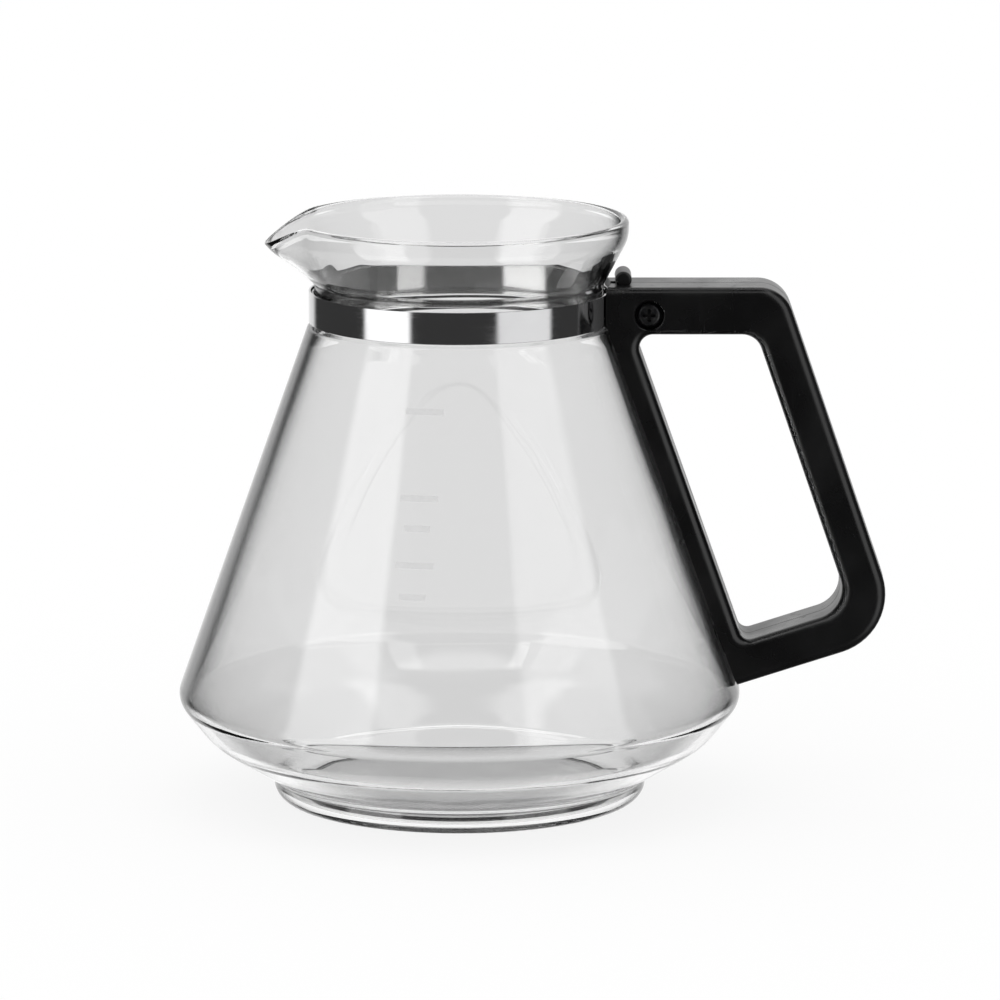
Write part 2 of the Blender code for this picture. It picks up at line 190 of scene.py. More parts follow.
POCKET_FLOOR = 0.0071
POCKET_FILLET = 0.0004
LOCK_WASHER_R = 0.0036
LOCK_WASHER_THICK = 0.0008
SPLIT_HALF = 0.0003
SPLIT_LEAN = 0.0004

# The level marks
LONG_MARKS_Z = (0.1233, 0.0997, 0.0815)
LONG_MARK = 0.0110
SHORT_MARKS_Z = (0.0915, 0.0729)
SHORT_MARK = 0.0075
MARK_HEIGHT = 0.0016
MARK_AZIMUTH = math.radians(-101)
MARK_STEPS = 10
MARK_STAND = 0.00004
MARK_FILM = 0.00006

# The glass's look
GLASS_IOR = 1.47
GLASS_ABSORPTION = 10.0
EDGE_FROM = 0.62
EDGE_TO = 0.82
# Painted shade: the dark grey that the glass's colour turns to where its upright faces are seen edge-on
PAINTED_EDGE_SHADE = (0.10, 0.105, 0.105)
LEVEL_FACES = (0.4, 0.7)  # how upright a face's normal is where the painted edge shade fades out
SILICONE_IOR = 1.41

# The studio. The sky's angles are in degrees.
CAMERA_DISTANCE = 2.0
CAMERA_RISE = math.radians(10.7)
CAMERA_TARGET = Vector((0.0119, 0.0, 0.0884))
CAMERA_LENS = 245.5
CAMERA_SENSOR = 36.0
FLOOR_RADIUS = 12.0
FLOOR_SEGMENTS = 96
PAPER_THROUGH_GLASS = 0.79  # the floor's light as seen through the glass
PAPER_GLOW = 1.0
GLOW_SHARE = 0.85  # how much of the floor's light is its own
ROOM = 0.06
SEE_THROUGH_UP_TO = 4.0  # bent rays that leave lower than this meet the plain sky
HORIZON_SOFT = 6.0
OVERHEAD = 1.5
FRONT_PANELS = ((-57.0, 17.0, 1.95), (52.0, 20.0, 1.25))  # azimuth, half width and light
BACKDROP = 0.95
TABLE = 1.00
OPEN_SKY = 1.10


# ---------------------------------------------------------------- outlines


def rounded(corners):
    """The points of an outline given as corners (x, z, fillet radius), with an arc at each fillet."""
    points = []
    for index, (x, z, radius) in enumerate(corners):
        here = Vector((x, z))
        if radius == 0:
            points.append(here)
            continue
        back = (Vector(corners[index - 1][:2]) - here).normalized()
        ahead = (Vector(corners[(index + 1) % len(corners)][:2]) - here).normalized()
        turn = math.pi - back.angle(ahead)
        centre = here + (back + ahead).normalized() * radius / math.cos(turn / 2)
        spoke = here + back * radius * math.tan(turn / 2) - centre
        sense = math.copysign(1, back.cross(ahead))
        steps = max(2, math.ceil(turn / ARC_STEP))
        for step in range(steps + 1):
            angle = -sense * turn * step / steps
            cosine, sine = math.cos(angle), math.sin(angle)
            turned_spoke = (spoke.x * cosine - spoke.y * sine, spoke.x * sine + spoke.y * cosine)
            points.append(centre + Vector(turned_spoke))
    return points


def moved_left(points, distance, closed=False):
    """The path moved sideways, to the left of the way it runs, with mitred corners."""
    moved = []
    for index, here in enumerate(points):
        back = here - points[index - 1] if index or closed else points[1] - here
        last = index == len(points) - 1
        ahead = back if last and not closed else points[(index + 1) % len(points)] - here
        normals = [Vector((-way.y, way.x)).normalized() for way in (back, ahead)]
        moved.append(here + distance * (normals[0] + normals[1]) / (1 + normals[0].dot(normals[1])))
    return moved


def evened(points):
    """The path with its long straight stretches divided, so that smooth shading stays true along them."""
    result = [points[0]]
    for here, there in zip(points, points[1:]):
        parts = max(1, math.ceil((there - here).length / LONGEST_STRETCH))
        result += [here.lerp(there, part / parts) for part in range(1, parts + 1)]
    return result


# ---------------------------------------------------------------- meshes


def smoothed(mesh, sharp_angle):
    mesh.shade_smooth()
    mesh.set_sharp_from_angle(angle=math.radians(sharp_angle))


def finished(bm, name):
    """The mesh as an object in the scene, its doubled points merged and its faces turned outwards."""
    bmesh.ops.remove_doubles(bm, verts=bm.verts, dist=MERGE_DISTANCE)
    bmesh.ops.recalc_face_normals(bm, faces=bm.faces)
    mesh = bpy.data.meshes.new(name)
    bm.to_mesh(mesh)
    bm.free()
    smoothed(mesh, SHARP_ANGLE)
    obj = bpy.data.objects.new(name, mesh)
    bpy.context.scene.collection.objects.link(obj)
    return obj


def turned(name, profile, steps=TURN_STEPS, ring=False):
    """The profile (radius, height) turned about Z. A ring's profile is closed. Any other ends on the axis."""
    bm = bmesh.new()
    verts = [bm.verts.new((radius, 0, height)) for radius, height in profile]
    edges = [bm.edges.new(pair) for pair in zip(verts, verts[1:])]
    if ring:
        edges.append(bm.edges.new((verts[-1], verts[0])))
    bmesh.ops.spin(
        bm, geom=verts + edges, cent=(0, 0, 0), axis=(0, 0, 1), angle=2 * math.pi, steps=steps, use_merge=True
    )
    return finished(bm, name)


def prism(name, outline, low, high, along):
    """The outline extruded along Y, where it lies in XZ, or along Z, where it lies in XY."""
    bm = bmesh.new()
    if along == "Y":
        verts = [bm.verts.new((first, low, second)) for first, second in outline]
        way = Vector((0, high - low, 0))
    else:
        verts = [bm.verts.new((first, second, low)) for first, second in outline]
        way = Vector((0, 0, high - low))
    face = bm.faces.new(verts)
    raised = bmesh.ops.extrude_face_region(bm, geom=[face], use_keep_orig=True)["geom"]
    bmesh.ops.translate(bm, vec=way, verts=[item for item in raised if isinstance(item, bmesh.types.BMVert)])
    return finished(bm, name)


def box(name, low, high):
    corners = [(low[0], low[1]), (high[0], low[1]), (high[0], high[1]), (low[0], high[1])]
    return prism(name, corners, low[2], high[2], "Z")


def rod(name, radius, low, high):
    return turned(name, [(0, low), (radius, low), (radius, high), (0, high)], SMALL_TURN_STEPS)


def swept(name, path, section):
    """A solid strip: the closed section of (distance to the left, height) carried along the path in XY."""
    bm = bmesh.new()
    lines = []
    for aside, height in section:
        lines.append([bm.verts.new((*point, height)) for point in moved_left(path, aside)])
    for index, line in enumerate(lines):
        beside = lines[index - 1]
        for near, far in zip(range(len(path) - 1), range(1, len(path))):
            bm.faces.new((beside[near], line[near], line[far], beside[far]))
    bm.faces.new([line[0] for line in lines])
    bm.faces.new([line[-1] for line in lines][::-1])
    return finished(bm, name)


def combined(target, steps, sharp_angle=SHARP_ANGLE):
    """The target with each (operation, shape) applied, its flat faces kept flat in shading."""
    for operation, shape in steps:
        modifier = target.modifiers.new(shape.name, "BOOLEAN")
        modifier.operation = operation
        modifier.solver = "EXACT"
        modifier.object = shape
    graph = bpy.context.evaluated_depsgraph_get()
    mesh = bpy.data.meshes.new_from_object(target.evaluated_get(graph))
    target.modifiers.clear()
    target.data = mesh
    for _, shape in steps:
        bpy.data.objects.remove(shape, do_unlink=True)
    smoothed(mesh, sharp_angle)
    flats = target.modifiers.new("flat faces", "WEIGHTED_NORMAL")
    flats.keep_sharp = True
    return target


def edged(obj):
    """A small rounding on the piece's hard edges."""
    modifier = obj.modifiers.new("edges", "BEVEL")
    modifier.width = SMALL_EDGE
    modifier.segments = 2
    modifier.limit_method = "ANGLE"
    modifier.angle_limit = BEVEL_ANGLE
    modifier.harden_normals = True
    return obj


# ---------------------------------------------------------------- glass


def cone_radius(height):
    return CONE_R0 - CONE_LEAN * height


def vessel_side():
    """The outside of the glass, from the middle of its slightly hollow base to its rim."""
    return [
        (0, PUNT_RISE, 0),
        (PUNT_R, PUNT_RISE, PUNT_FILLET),
        (PUNT_R + PUNT_SLOPE, 0, PUNT_EDGE_FILLET),
        (FOOT_R, 0, FOOT_FILLET),
        (FOOT_R + FOOT_DRAFT, FOOT_H, BOWL_JOIN),
        (BOWL_R, BOWL_Z, BOWL_FILLET),
        (cone_radius(BELLY_Z), BELLY_Z, BELLY_FILLET),
        (cone_radius(GROOVE_Z), GROOVE_Z, GROOVE_FILLET),
        (NECK_R, GROOVE_Z + GROOVE_STEP, NECK_JOIN),
        (NECK_R, FLARE_Z, FLARE_FILLET),
        (RIM_R, HEIGHT - RIM_H, RIM_TURN),
        (RIM_R, HEIGHT, RIM_FILLET),
    ]


def corner_at(side, height):
    return next(index for index, corner in enumerate(side) if corner[1] == height)


def hollow_corners(side):
    """The inside from the rim down: the outside moved in by the wall, which varies at the neck and flare."""
    corners = [Vector(corner[:2]) for corner in side]
    inside = moved_left(corners, WALL)
    for height, share in ((FLARE_Z, NECK_WALL_SHARE), (HEIGHT - RIM_H, FLARE_WALL_SHARE)):
        turn = corner_at(side, height)
        inside[turn] = corners[turn].lerp(inside[turn], share)
    hollow = []
    for index in range(len(side) - 2, 0, -1):
        bend = (corners[index] - corners[index - 1]).cross(corners[index + 1] - corners[index])
        radius = side[index][2] - math.copysign(WALL, bend)
        hollow.append((*inside[index], max(radius, SMALLEST_INNER_FILLET)))
    return hollow


def vessel_profile():
    """Up the outside, over the rim and down the inside, which has a soft shoulder behind the outer groove."""
    side = vessel_side()
    hollow = hollow_corners(side)
    groove = len(side) - 2 - corner_at(side, GROOVE_Z)
    low = GROOVE_Z - INNER_SHOULDER_LOW
    hollow[groove - 1] = (NECK_R - WALL, GROOVE_Z + INNER_SHOULDER_HIGH, INNER_SHOULDER_FILLET)
    hollow[groove] = (cone_radius(low) - WALL * math.hypot(1, CONE_LEAN), low, INNER_SHOULDER_FILLET)
    inner_rim = (RIM_R - RIM_BEAD, HEIGHT, RIM_FILLET)
    return evened(rounded([*side, inner_rim, *hollow, (0, WALL + PUNT_RISE, 0)]))


def spout_pull(place):
    """A point of the glass moved out and down into the spout, most at the rim and straight along -X."""
    rise = min(max((place.z - FLARE_Z) / (HEIGHT - FLARE_Z), 0), 1)
    off_axis = math.pi - abs(math.atan2(place.y, place.x))
    share = math.cos(math.pi / 2 * min(off_axis / SPOUT_HALF_ANGLE, 1)) ** 2
    outward = Vector((place.x, place.y, 0)).normalized()
    reach = outward * SPOUT_REACH * rise**SPOUT_REACH_POWER
    return place + share * (reach - Vector((0, 0, SPOUT_DIP * rise**SPOUT_DIP_POWER)))


def vessel():
    """The glass. Its inner face wanders a little, as it does in glass that is blown into a mould."""
    obj = turned("vessel", vessel_profile())
    for vertex in obj.data.vertices:
        place = vertex.co.copy()
        radius = math.hypot(place.x, place.y)
        if place.z > FLARE_Z:
            vertex.co = spout_pull(place)
        elif inside_neck(radius, place.z) or inside_cone(radius, place.z):
            push = noise.noise(place * WAVE_SCALE) * INNER_WAVE
            vertex.co = place * (1 + push / max(radius, WAVE_LEAST_RADIUS))
    obj.data.update()
    return obj


def inside_neck(radius, height):
    return radius < NECK_R - WAVE_NECK_MARGIN and height > GROOVE_Z


def inside_cone(radius, height):
    within = BELLY_Z + WAVE_ABOVE_BELLY < height < GROOVE_Z - WAVE_BELOW_GROOVE
    return within and radius < cone_radius(height) - WALL / 2


# ---------------------------------------------------------------- band


def ring_points(radius):
    """Points round the neck, clockwise from just past +X to just before it."""
    steps = range(RING_GAP_STEPS, TURN_STEPS - RING_GAP_STEPS + 1)
    angles = [-2 * math.pi * step / TURN_STEPS for step in steps]
    return [Vector((radius * math.cos(angle), radius * math.sin(angle))) for angle in angles]


def strip_section(thick, low, high, rounding):
    half = thick / 2
    corners = [(-half, low, rounding), (half, low, rounding), (half, high, rounding), (-half, high, rounding)]
    return rounded(corners)


def liner():
    middle = NECK_R + FIT_GAP + LINER_THICK / 2
    section = strip_section(LINER_THICK, BAND_LOW - LINER_BELOW, BAND_HIGH - LINER_SHORT, LINER_ROUNDING)
    return swept("liner", ring_points(middle), section)


def band_middle_r():
    return NECK_R + FIT_GAP + LINER_THICK + FIT_GAP + BAND_THICK / 2


def radius_past_band():
    return band_middle_r() + BAND_THICK / 2 + FIT_GAP


def band():
    """The strip round the neck, its ends turned out as two rounded ears with a hole for the screw."""
    radius = band_middle_r()
    bend_x = math.sqrt(radius**2 - EAR_Y**2)
    corners = [
        (EAR_END_X, -EAR_Y, 0),
        (bend_x, -EAR_Y, EAR_BEND),
        *[(point.x, point.y, 0) for point in ring_points(radius)],
        (bend_x, EAR_Y, EAR_BEND),
        (EAR_END_X, EAR_Y, 0),
    ]
    strip = swept("band", rounded(corners), strip_section(BAND_THICK, BAND_LOW, BAND_HIGH, BAND_ROUNDING))
    return combined(strip, [("DIFFERENCE", ear_trim()), ("DIFFERENCE", screw_rod("ear_hole", SCREW_HOLE_R))])


def ear_trim():
    """What is cut from the strip's ends, so that rounded ears are left."""
    start, end = radius_past_band() + EAR_START, EAR_END_X + REACH
    low, high = BAND_LOW - REACH, BAND_HIGH + REACH
    tab_low, tab_high = SCREW_Z - EAR_HALF_H, SCREW_Z + EAR_HALF_H
    tip = EAR_HALF_H * EAR_TIP_SHARE
    corners = [
        (start, low, 0),
        (end, low, 0),
        (end, high, 0),
        (start, high, 0),
        (start, tab_high, 0),
        (EAR_END_X, tab_high, tip),
        (EAR_END_X, tab_low, tip),
        (start, tab_low, 0),
    ]
    return prism("ear_trim", rounded(corners), -REACH, REACH, "Y")


# ---------------------------------------------------------------- handle


def crossing(upright, level):
    """Where the leaning line x = x0 - lean z meets the line z = z0 + rise x."""
    (x0, lean), (z0, rise) = upright, level
    x = (x0 - lean * z0) / (1 + lean * rise)
    return x, z0 + rise * x


def handle_outlines():
    """The corners (x, z, fillet) of the handle's outside, which runs into the glass, and of its opening."""
    top = (HANDLE_TOP, 0)
    under_top = (HANDLE_TOP - TOP_THICK, 0)
    lower_under = (LOWER_Z0, LOWER_RISE)
    lower_over = (LOWER_Z0 + LOWER_THICK * math.hypot(1, LOWER_RISE), LOWER_RISE)
    grip_outer = (GRIP_X0, GRIP_LEAN)
    grip_inner = (GRIP_X0 - GRIP_THICK * math.hypot(1, GRIP_LEAN), GRIP_LEAN)
    root_inner = (CONE_R0 + ROOT_THICK, CONE_LEAN)
    root_glass = (CONE_R0 - REACH, CONE_LEAN)
    outer = [
        (*crossing(root_glass, lower_under), 0),
        (*crossing(grip_outer, lower_under), OUTER_FILLETS[0]),
        (*crossing(grip_outer, top), OUTER_FILLETS[1]),
        (*crossing(root_glass, top), 0),
    ]
    opening_lines = (
        (root_inner, lower_over),
        (grip_inner, lower_over),
        (grip_inner, under_top),
        (root_inner, under_top),
    )
    opening = [(*crossing(*lines), fillet) for lines, fillet in zip(opening_lines, OPENING_FILLETS)]
    return outer, opening


def edge_stations():
    """(inset, y) across the handle's edge: rounded to each face, with the mould's seam along the middle."""
    depth = HANDLE_HALF_Y - HANDLE_ROUNDING
    angles = [math.pi / 2 * step / ROUNDING_STEPS for step in range(ROUNDING_STEPS + 1)]
    front = []
    for angle in reversed(angles):
        front.append((HANDLE_ROUNDING * (1 - math.cos(angle)), -depth - HANDLE_ROUNDING * math.sin(angle)))
    front += [(0, -SEAM_SHOULDER * SEAM_HALF), (0, -SEAM_HALF)]
    return front + [(-SEAM_PROUD, 0)] + [(inset, -y) for inset, y in front[::-1]]


def handle_rings(bm, points, inward):
    """One edge of the handle from its front face round to its back face. Returns the end loops."""
    loops = []
    for inset, y in edge_stations():
        shifted = moved_left(points, inward * inset, closed=True)
        loops.append([bm.verts.new((point.x, y, point.y)) for point in shifted])
    for near, far in zip(loops, loops[1:]):
        for index in range(len(points)):
            bm.faces.new((near[index - 1], near[index], far[index], far[index - 1]))
    return loops[0], loops[-1]


def loop_edges(bm, loop):
    return [bm.edges.get((loop[index - 1], loop[index])) for index in range(len(loop))]


def handle_body():
    """The closed loop, with room cut out of it for the glass, the ears, the screw, the nut and the pad."""
    outer, opening = handle_outlines()
    bm = bmesh.new()
    outer_ends = handle_rings(bm, rounded(outer), 1)
    opening_ends = handle_rings(bm, rounded(opening), -1)
    for outer_loop, opening_loop in zip(outer_ends, opening_ends):
        edges = loop_edges(bm, outer_loop) + loop_edges(bm, opening_loop)
        bmesh.ops.triangle_fill(bm, edges=edges, use_beauty=True, use_dissolve=False)
    body = finished(bm, "handle_body")
    cuts = [
        vessel_clearance("handle_clearance", GLASS_GAP, radius_past_band()),
        ear_slot(),
        slot_mouth(),
        screw_bore(),
        nut_pocket(),
        pad_block("pad_recess", FIT_GAP),
    ]
    return combined(body, [("UNION", nose())] + [("DIFFERENCE", cut) for cut in cuts], HANDLE_SHARP_ANGLE)


def nose():
    """The raised round barrel on top of the handle by the neck, its ends rounded over."""
    corners = [
        (0, -NOSE_HALF_Y, 0),
        (NOSE_R, -NOSE_HALF_Y, NOSE_ROUNDING),
        (NOSE_R, NOSE_HALF_Y, NOSE_ROUNDING),
        (0, NOSE_HALF_Y, 0),
    ]
    bump = turned("nose", rounded(corners), SMALL_TURN_STEPS)
    bump.location = (NOSE_X, 0, NOSE_Z)
    bump.rotation_euler = (math.pi / 2, 0, 0)
    return bump


def vessel_clearance(name, gap, neck_radius):
    """The room that the glass and what is round its neck take up beside the handle."""
    low, high = PAD_LOW - CLEARANCE_BELOW_PAD, HANDLE_TOP + 2 * REACH
    groove = GROOVE_Z + gap
    profile = [
        (0, low),
        (cone_radius(low) + gap, low),
        (cone_radius(groove) + gap, groove),
        (neck_radius, groove + gap),
        (neck_radius, high),
        (0, high),
    ]
    return turned(name, profile)


def ear_slot():
    half = EAR_Y + BAND_THICK / 2 + FIT_GAP
    tall = EAR_HALF_H + FIT_GAP
    return box("ear_slot", (NECK_R, -half, SCREW_Z - tall), (EAR_END_X + FIT_GAP, half, SCREW_Z + tall))


def slot_mouth():
    half = EAR_Y + EAR_BEND + FIT_GAP
    end = radius_past_band() + MOUTH_DEPTH
    return box("slot_mouth", (NECK_R, -half, BAND_LOW - FIT_GAP), (end, half, HANDLE_TOP + FIT_GAP))


def pad_block(name, margin):
    back = CONE_R0 + GLASS_GAP + PAD_THICK + margin
    low, high = PAD_LOW - margin, PAD_HIGH + margin
    outline = [
        (cone_radius(low) - REACH, low),
        (back - CONE_LEAN * low, low),
        (back - CONE_LEAN * high, high),
        (cone_radius(high) - REACH, high),
    ]
    return prism(name, outline, -PAD_HALF_Y - margin, PAD_HALF_Y + margin, "Y")


def bumper_pad():
    pad = pad_block("bumper_pad", 0)
    return combined(pad, [("DIFFERENCE", vessel_clearance("pad_clearance", FIT_GAP, NECK_R))])


# ---------------------------------------------------------------- screw and nut


def on_screw_axis(obj):
    """Turns a piece made about Z onto the screw's axis, so that its +Z end points to the front, along -Y."""
    obj.location = (SCREW_X, 0, SCREW_Z)
    obj.rotation_euler = (math.pi / 2, 0, 0)
    return obj


def screw_rod(name, radius):
    return on_screw_axis(rod(name, radius, -HANDLE_HALF_Y - REACH, HANDLE_HALF_Y + REACH))


def screw_bore():
    low, high = -HANDLE_HALF_Y - REACH, HANDLE_HALF_Y + REACH
    profile = [
        (0, low),
        (SCREW_HOLE_R, low),
        (SCREW_HOLE_R, COUNTERBORE_FLOOR),
        (COUNTERBORE_R, COUNTERBORE_FLOOR),
        (COUNTERBORE_R, HANDLE_HALF_Y - SMALL_EDGE),
        (COUNTERBORE_R + SMALL_EDGE + REACH, high),
        (0, high),
    ]
    return on_screw_axis(turned("screw_bore", profile, SMALL_TURN_STEPS))


def hexagon(flats, fillet=0.0):
    radius = flats / math.sqrt(3)
    angles = [math.pi / 3 * step for step in range(6)]
    return [(radius * math.cos(angle), radius * math.sin(angle), fillet) for angle in angles]


def nut_pocket():
    outline = rounded(hexagon(POCKET_FLATS, POCKET_FILLET))
    return on_screw_axis(prism("nut_pocket", outline, -HANDLE_HALF_Y - REACH, -POCKET_FLOOR, "Z"))


def head_seat():
    return COUNTERBORE_FLOOR + 2 * FIT_GAP + WASHER_THICK


def screw():
    """The screw, its shank threaded, and its head domed with a cross recess."""
    under = head_seat()
    top = under + HEAD_H
    shank_end = -SCREW_END
    head = [
        (SCREW_R - THREAD_DEPTH, under - HEAD_NECK, 0),
        (SCREW_R - THREAD_DEPTH, under, 0),
        (HEAD_R, under, HEAD_EDGE),
        (HEAD_R, top, HEAD_H * HEAD_ROUND_SHARE),
        (0, top + HEAD_DOME, 0),
    ]
    tip = [
        (0, shank_end, 0),
        (SCREW_R - TIP_TAPER, shank_end, TIP_FILLET),
        (SCREW_R - THREAD_DEPTH, shank_end + TIP_H, 0),
    ]
    body = on_screw_axis(turned("screw", rounded(tip + head), SMALL_TURN_STEPS))
    ridge = on_screw_axis(thread("screw_thread", shank_end + THREAD_FROM_TIP, under - THREAD_FROM_HEAD))
    steps = [("UNION", ridge)] + [("DIFFERENCE", bar) for bar in recess_bars(top)]
    return combined(body, steps)


def thread(name, low, high):
    """A helical ridge of triangular section that runs from low to high."""
    turns = (high - low) / THREAD_PITCH
    count = round(turns * THREAD_STEPS)
    root = SCREW_R - THREAD_DEPTH - THREAD_OVERLAP
    half = THREAD_PITCH * THREAD_HALF_SHARE
    bm = bmesh.new()
    sections = []
    for step in range(count + 1):
        angle = 2 * math.pi * step / THREAD_STEPS
        height = low + THREAD_PITCH * step / THREAD_STEPS
        way = Vector((math.cos(angle), math.sin(angle), 0))
        section = ((root, height - half), (SCREW_R, height), (root, height + half))
        sections.append([bm.verts.new(way * radius + Vector((0, 0, rise))) for radius, rise in section])
    for near, far in zip(sections, sections[1:]):
        for index in range(3):
            bm.faces.new((near[index - 1], near[index], far[index], far[index - 1]))
    bm.faces.new(sections[0])
    bm.faces.new(sections[-1][::-1])
    return finished(bm, name)


def recess_bars(top):
    """The two bars that cut the cross recess into the head."""
    bars = []
    for name, arm, width in (
        ("recess_across", RECESS_ARM, RECESS_HALF_WIDTH),
        ("recess_upright", RECESS_HALF_WIDTH, RECESS_ARM),
    ):
        bars.append(on_screw_axis(box(name, (-arm, -width, top - RECESS_DEPTH), (arm, width, top + REACH))))
    return bars


def flat_ring(name, inner, outer, low, thick):
    corners = [
        (inner, low, WASHER_ROUNDING),
        (outer, low, WASHER_ROUNDING),
        (outer, low + thick, WASHER_ROUNDING),
        (inner, low + thick, WASHER_ROUNDING),
    ]
    return on_screw_axis(turned(name, rounded(corners), SMALL_TURN_STEPS, ring=True))


def washer():
    return flat_ring("washer", SCREW_HOLE_R, WASHER_R, COUNTERBORE_FLOOR + FIT_GAP, WASHER_THICK)


def spring_washer():
    """The ring with a slanted split through one side."""
    low = -POCKET_FLOOR - FIT_GAP - LOCK_WASHER_THICK
    ring = flat_ring("spring_washer", SCREW_HOLE_R, LOCK_WASHER_R, low, LOCK_WASHER_THICK)
    cut = [
        (-SPLIT_HALF - SPLIT_LEAN, low - FIT_GAP),
        (SPLIT_HALF - SPLIT_LEAN, low - FIT_GAP),
        (SPLIT_HALF + SPLIT_LEAN, low + LOCK_WASHER_THICK + FIT_GAP),
        (-SPLIT_HALF + SPLIT_LEAN, low + LOCK_WASHER_THICK + FIT_GAP),
    ]
    slit = on_screw_axis(prism("washer_cut", cut, 0, LOCK_WASHER_R + FIT_GAP, "Y"))
    return combined(ring, [("DIFFERENCE", slit)])


def nut():
    """A hexagon nut, its corners chamfered on both faces and its bore countersunk."""
    high = -POCKET_FLOOR - 2 * FIT_GAP - LOCK_WASHER_THICK
    low = high - NUT_THICK
    corner_radius = NUT_FLATS / math.sqrt(3)
    body = on_screw_axis(prism("nut", [point[:2] for point in hexagon(NUT_FLATS)], low, high, "Z"))
    face_radius = NUT_FLATS * CHAMFER_SHARE
    slope = corner_radius - face_radius
    barrel = [
        (0, low),
        (face_radius, low),
        (corner_radius, low + slope * CHAMFER_SLOPE),
        (corner_radius, high - slope * CHAMFER_SLOPE),
        (face_radius, high),
        (0, high),
    ]
    sink = NUT_BORE_R + NUT_SINK
    bore = [
        (0, low - REACH),
        (sink, low - REACH),
        (sink, low),
        (NUT_BORE_R, low + NUT_SINK),
        (NUT_BORE_R, high - NUT_SINK),
        (sink, high),
        (sink, high + REACH),
        (0, high + REACH),
    ]
    chamfer = on_screw_axis(turned("nut_chamfer", barrel, SMALL_TURN_STEPS))
    hole = on_screw_axis(turned("nut_bore", bore, SMALL_TURN_STEPS))
    return combined(body, [("INTERSECT", chamfer), ("DIFFERENCE", hole)])


# ---------------------------------------------------------------- level marks


def mark_row(bm, z, lift, half_turn):
    """A row of points along a mark, lifted off the cone."""
    out = cone_radius(z) + lift
    angles = [MARK_AZIMUTH - half_turn + 2 * half_turn * step / MARK_STEPS for step in range(MARK_STEPS + 1)]
    return [bm.verts.new((out * math.cos(angle), out * math.sin(angle), z)) for angle in angles]


def add_mark(bm, height, length):
    half_turn = length / 2 / cone_radius(height)
    layers = []
    for lift in (MARK_STAND, MARK_STAND + MARK_FILM):
        for z in (height - MARK_HEIGHT / 2, height + MARK_HEIGHT / 2):
            layers.append(mark_row(bm, z, lift, half_turn))
    inner_low, inner_high, outer_low, outer_high = layers
    around = [inner_low, outer_low, outer_high, inner_high]
    for index, row in enumerate(around):
        beside = around[index - 1]
        for step in range(MARK_STEPS):
            bm.faces.new((beside[step], beside[step + 1], row[step + 1], row[step]))
    bm.faces.new([row[0] for row in around])
    bm.faces.new([row[-1] for row in around][::-1])


def level_marks():
    """Short enamel dashes that lie on the front of the cone, as a scale of volume."""
    bm = bmesh.new()
    for heights, length in ((LONG_MARKS_Z, LONG_MARK), (SHORT_MARKS_Z, SHORT_MARK)):
        for height in heights:
            add_mark(bm, height, length)
    return finished(bm, "level_marks")


# ---------------------------------------------------------------- materials


def add_maths(tree, operation, first, second):
    """A Math node's result on two values, each a float or another node's output."""
    node = tree.nodes.new("ShaderNodeMath")
    node.operation = operation
    for index, value in enumerate((first, second)):
        if isinstance(value, float):
            node.inputs[index].default_value = value
        else:
            tree.links.new(value, node.inputs[index])
    return node.outputs[0]


class Nodes:
    """A material's node tree with its Principled shader, and short ways to add to it.

    The colour, roughness and metallic given at the start stay on their sockets, under anything linked later.
    """

    def __init__(self, name, colour, roughness, metallic=0.0):
        self.material = bpy.data.materials.new(name)
        self.material.use_nodes = True
        self.tree = self.material.node_tree
        self.shader = self.tree.nodes["Principled BSDF"]
        self.output = self.tree.nodes["Material Output"]
        self.set(self.shader, "Base Color", (*colour, 1.0))
        self.set(self.shader, "Roughness", roughness)
        self.set(self.shader, "Metallic", metallic)
        self.place = self.add("ShaderNodeTexCoord").outputs["Object"]

    def add(self, kind, **settings):
        node = self.tree.nodes.new(kind)
        for name, value in settings.items():
            setattr(node, name, value)
        return node

    def set(self, node, socket, value):
        node.inputs[socket].default_value = value

    def link(self, source, target):
        self.tree.links.new(source, target)

    def noise(self, scale, detail, stretch=None):
        """Noise at so many features a metre. A stretch under 1 draws it out along that axis."""
        place = self.place
        if stretch:
            mapping = self.add("ShaderNodeMapping")
            self.set(mapping, "Scale", stretch)
            self.link(place, mapping.inputs["Vector"])
            place = mapping.outputs["Vector"]
        node = self.add("ShaderNodeTexNoise")
        self.set(node, "Scale", scale)
        self.set(node, "Detail", detail)
        self.link(place, node.inputs["Vector"])
        return node.outputs["Fac"]

    def spread(self, source, low, high, start=0.3, end=0.7):
        """The source's middle range spread over the values from low to high."""
        node = self.add("ShaderNodeMapRange")
        for socket, value in (("From Min", start), ("From Max", end), ("To Min", low), ("To Max", high)):
            self.set(node, socket, value)
        self.link(source, node.inputs["Value"])
        return node.outputs["Result"]

    def maths(self, operation, first, second):
        return add_maths(self.tree, operation, first, second)

    def mix_colour(self, factor, first, second):
        node = self.add("ShaderNodeMix", data_type="RGBA")
        node.inputs["A"].default_value = (*first, 1.0)
        node.inputs["B"].default_value = (*second, 1.0)
        self.link(factor, node.inputs["Factor"])
        return node.outputs["Result"]

    def bump(self, height, distance, strength):
        """Adds to the shader's bumps. The height works over this distance in metres."""
        node = self.add("ShaderNodeBump")
        self.set(node, "Strength", strength)
        self.set(node, "Distance", distance)
        self.link(height, node.inputs["Height"])
        previous = self.shader.inputs["Normal"]
        if previous.is_linked:
            self.link(previous.links[0].from_socket, node.inputs["Normal"])
        self.link(node.outputs["Normal"], previous)

    def drive(self, socket, source):
        """Links the source to one of the shader's sockets."""
        self.link(source, self.shader.inputs[socket])


